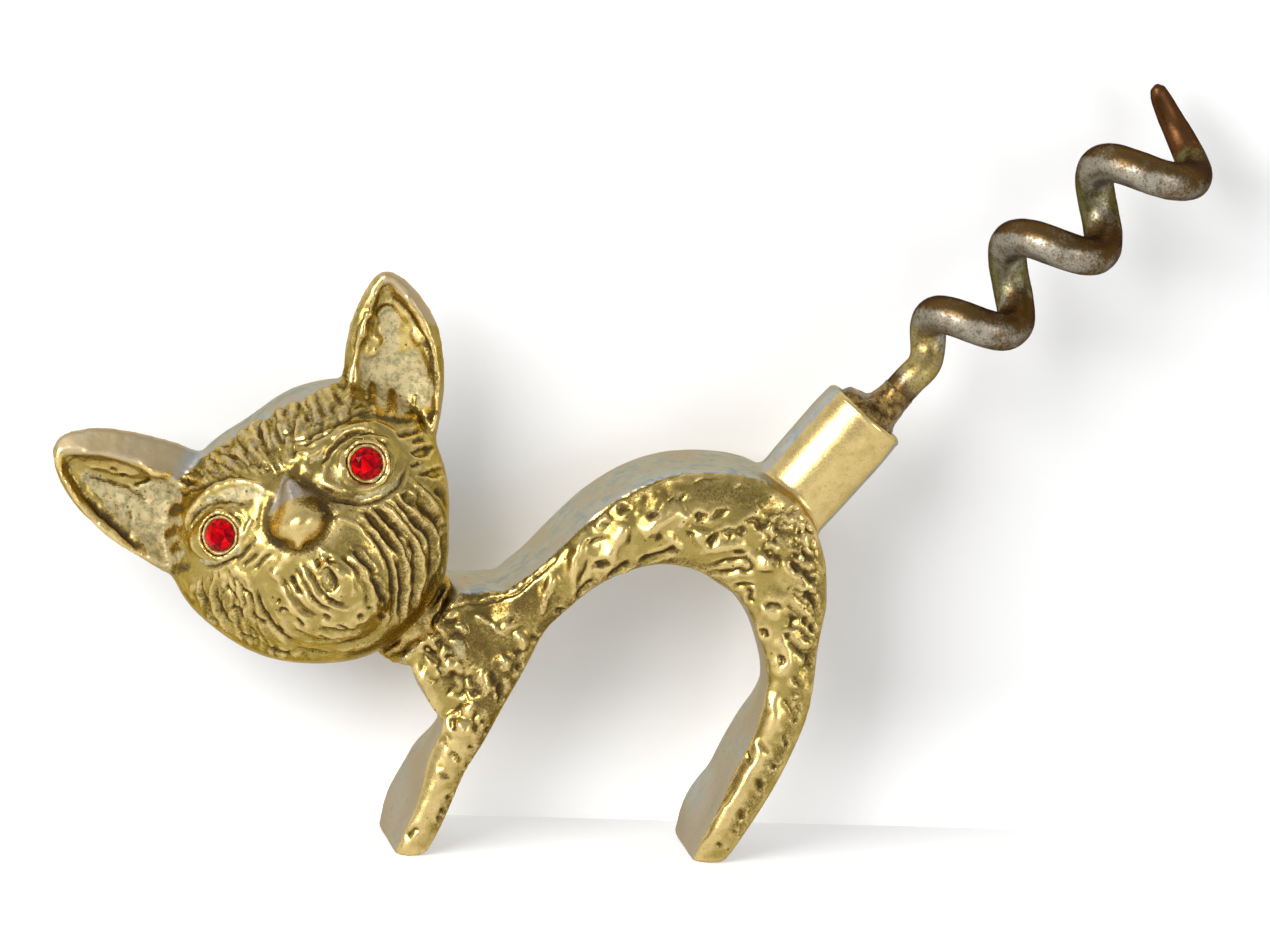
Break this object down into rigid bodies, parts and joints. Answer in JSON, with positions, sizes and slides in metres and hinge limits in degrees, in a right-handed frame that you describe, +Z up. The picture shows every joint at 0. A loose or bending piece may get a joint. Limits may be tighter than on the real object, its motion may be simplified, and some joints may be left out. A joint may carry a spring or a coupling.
{
  "type": "figural corkscrew",
  "caption": "Cast-brass cat with a tilted head and red stone eyes; the arched back and legs form the finger grip, and the raised tail is a socket holding a steel worm.",
  "frame": {"origin": "under the middle of the whole object, on the surface that the cat's feet stand on", "axes": "+X along the cat from its head towards the worm; -Y is the side that the face and the near flank look to; +Z up"},
  "size_m": [0.0988, 0.0238, 0.0669],
  "materials": {
    "brass": "cast, rubbed bright on the high places with dark and pale patina in the hollows; ground faces satin and tarnished grey",
    "hard_solder": "dull, pale grey-brown in the seam of the neck",
    "soft_solder": "dull brown, run and set round the shank",
    "steel": "worn steel with brown rust stains, reddish at the tip",
    "red_glass": "clear red, faceted, foil behind",
    "cement": "pale cream setting cement"
  },
  "bodies": {
    "root": {"cat_body": "brass", "cat_head": "brass", "neck_solder": "hard_solder", "left_eye_cement": "cement", "left_eye_stone": "red_glass", "right_eye_cement": "cement", "right_eye_stone": "red_glass", "worm": "steel", "socket_solder": "soft_solder"}
  },
  "joints": []
}
